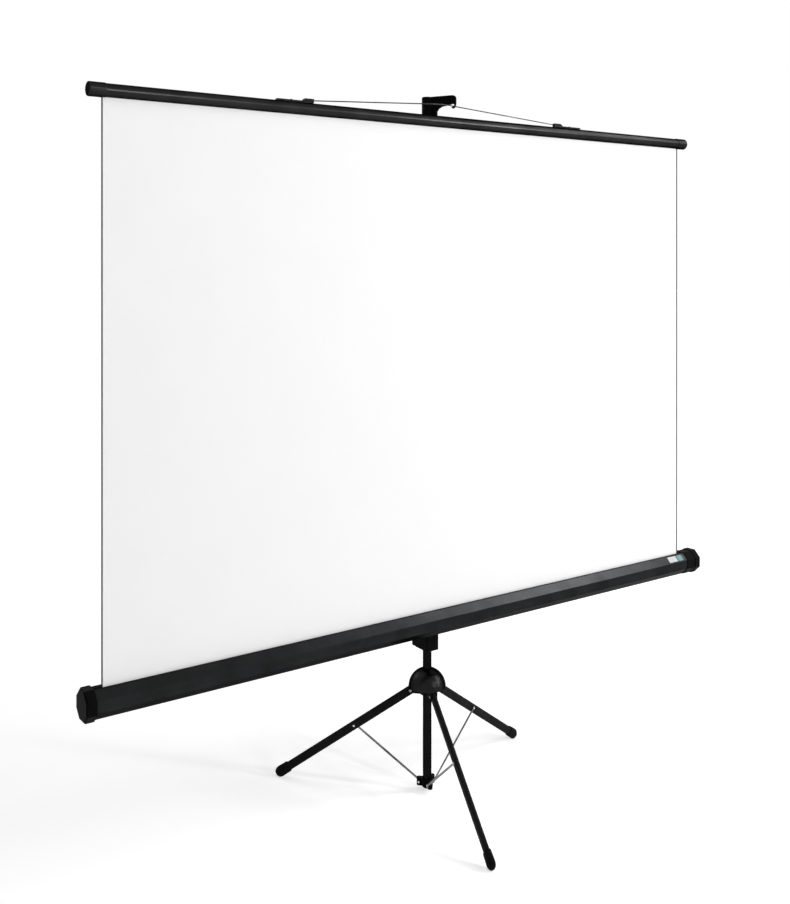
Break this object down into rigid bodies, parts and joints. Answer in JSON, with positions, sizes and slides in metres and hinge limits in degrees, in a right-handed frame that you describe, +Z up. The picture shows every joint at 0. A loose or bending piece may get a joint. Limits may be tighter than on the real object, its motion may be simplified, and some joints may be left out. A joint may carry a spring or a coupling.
{
  "type": "tripod projector screen",
  "caption": "Portable pull-up projector screen: white fabric from an eight-sided spring-roller case up to a top bar hooked on a telescopic mast, on a folding tripod.",
  "frame": {"origin": "on the floor, under the middle of the whole screen's bounding box", "axes": "+X along the screen, to the right for the audience; +Y from the audience side towards the pole and the back; +Z up"},
  "size_m": [2.126, 0.77, 2.0116],
  "materials": {
    "aluminium": "mill finish",
    "black_paint": "satin black paint",
    "black_plastic": "moulded, matte",
    "fabric": "matte white projection coating",
    "grey_paint": "satin dark grey paint",
    "label": "printed film, left blank",
    "nylon": "natural, low friction",
    "rubber": "moulded, matte",
    "steel": "zinc plated"
  },
  "bodies": {
    "pole": {"outer_tube": "black_paint", "pole_plug": "black_plastic", "brace_collar": "black_plastic", "collar_rivet_1": "steel", "collar_rivet_2": "steel", "collar_rivet_3": "steel", "lock_collar": "black_plastic"},
    "hub": {"hub_body": "black_plastic", "hub_dome": "black_plastic", "hub_pin_1": "steel", "hub_pin_2": "steel", "hub_pin_3": "steel"},
    "liner": {"slider_liner": "nylon"},
    "case": {"slider_carriage": "black_plastic", "lever_pin": "steel", "lever_spring": "steel", "pivot_washer": "black_plastic", "pivot_bolt": "steel", "case_shell": "grey_paint", "end_cap_left": "black_plastic", "end_cap_right": "black_plastic", "label_plate": "label", "spring_shaft": "steel"},
    "lever": {"release_lever": "black_plastic"},
    "roller": {"roller_tube": "aluminium", "fabric_roll": "fabric", "idle_plug": "nylon", "spring_plug": "nylon", "roller_spring": "steel"},
    "mast": {"mast_tube": "black_paint", "mast_bush": "nylon", "mast_hook": "black_plastic", "hook_pin": "steel"},
    "bar": {"bar_tube": "black_paint", "bar_cap_left": "black_plastic", "bar_cap_right": "black_plastic", "batten": "aluminium", "screen_fabric": "fabric", "bail_bracket_left": "steel", "bail_bracket_right": "steel", "bail_screw_left": "steel", "bail_screw_right": "steel"},
    "bail": {"bail": "steel"},
    "knob": {"lock_knob": "black_plastic", "lock_screw": "steel"},
    "leg_1": {"leg_tube_1": "black_paint", "foot_1": "rubber", "leg_rivet_1": "steel"},
    "brace_link_1": {"brace_1": "steel", "brace_stud_1": "steel"},
    "leg_2": {"leg_tube_2": "black_paint", "foot_2": "rubber", "leg_rivet_2": "steel"},
    "brace_link_2": {"brace_2": "steel", "brace_stud_2": "steel"},
    "leg_3": {"leg_tube_3": "black_paint", "foot_3": "rubber", "leg_rivet_3": "steel"},
    "brace_link_3": {"brace_3": "steel", "brace_stud_3": "steel"}
  },
  "joints": [
    {"name": "hub_slide", "type": "slide", "parent": "pole", "child": "hub", "axis": [0, 0, 1], "range_m": [0, 0.182]},
    {"name": "leg_fold_1", "type": "hinge", "parent": "hub", "child": "leg_1", "pos_m": [-0.02983, 0.00975, 0.28693], "axis": [0.9636, -0.2672, 0], "range_deg": [0, 55.3]},
    {"name": "leg_fold_2", "type": "hinge", "parent": "hub", "child": "leg_2", "pos_m": [0.02947, 0.06802, 0.28693], "axis": [-0.2504, 0.9681, 0], "range_deg": [0, 55.3]},
    {"name": "leg_fold_3", "type": "hinge", "parent": "hub", "child": "leg_3", "pos_m": [-0.05064, 0.09024, 0.28693], "axis": [-0.7133, -0.7009, 0], "range_deg": [0, 55.3]},
    {"name": "brace_fold_1", "type": "hinge", "parent": "pole", "child": "brace_link_1", "pos_m": [-0.02341, 0.03288, 0.022], "axis": [0.9636, -0.2672, 0], "range_deg": [-46.7, 0]},
    {"name": "brace_fold_2", "type": "hinge", "parent": "pole", "child": "brace_link_2", "pos_m": [0.00624, 0.06201, 0.022], "axis": [-0.2504, 0.9681, 0], "range_deg": [-46.7, 0]},
    {"name": "brace_fold_3", "type": "hinge", "parent": "pole", "child": "brace_link_3", "pos_m": [-0.03382, 0.07312, 0.022], "axis": [-0.7133, -0.7009, 0], "range_deg": [-46.7, 0]},
    {"name": "case_height", "type": "slide", "parent": "hub", "child": "liner", "axis": [0, 0, 1], "range_m": [-0.045, 0.17]},
    {"name": "case_swivel", "type": "hinge", "parent": "liner", "child": "case", "pos_m": [-0.017, 0.056, 0], "axis": [0, 0, 1], "continuous": true},
    {"name": "release_lever", "type": "hinge", "parent": "case", "child": "lever", "pos_m": [-0.017, 0.0965, 0.517], "axis": [1, 0, 0], "range_deg": [-5, 0], "stiffness_Nm_per_rad": 0.6, "springref_deg": 5.73},
    {"name": "screen_drop", "type": "slide", "parent": "case", "child": "mast", "axis": [0, 0, 1], "range_m": [-0.64, 0.13]},
    {"name": "bar_slide", "type": "slide", "parent": "case", "child": "bar", "axis": [0, 0, 1], "range_m": [-0.64, 0.13], "deforming": ["screen_fabric"]},
    {"name": "roller_spin", "type": "hinge", "parent": "case", "child": "roller", "pos_m": [-0.017, -0.0056, 0.514], "axis": [1, 0, 0], "range_deg": [-500, 2500]},
    {"name": "bail_swing", "type": "hinge", "parent": "bar", "child": "bail", "pos_m": [-0.017, -0.0196, 1.9555], "axis": [1, 0, 0], "range_deg": [-88, 0]},
    {"name": "lock_knob", "type": "hinge", "parent": "pole", "child": "knob", "pos_m": [-0.017, 0.056, 1.2225], "axis": [0, 1, 0], "range_deg": [-540, 0]}
  ],
  "couplings": [
    {"joint": "leg_fold_1", "follows": "hub_slide", "rad_per_m": 5.2951},
    {"joint": "leg_fold_2", "follows": "hub_slide", "rad_per_m": 5.2951},
    {"joint": "leg_fold_3", "follows": "hub_slide", "rad_per_m": 5.2951},
    {"joint": "brace_fold_1", "follows": "hub_slide", "rad_per_m": -4.4724},
    {"joint": "brace_fold_2", "follows": "hub_slide", "rad_per_m": -4.4724},
    {"joint": "brace_fold_3", "follows": "hub_slide", "rad_per_m": -4.4724},
    {"joint": "bar_slide", "follows": "screen_drop", "ratio": 1},
    {"joint": "roller_spin", "follows": "screen_drop", "rad_per_m": -62.5}
  ]
}
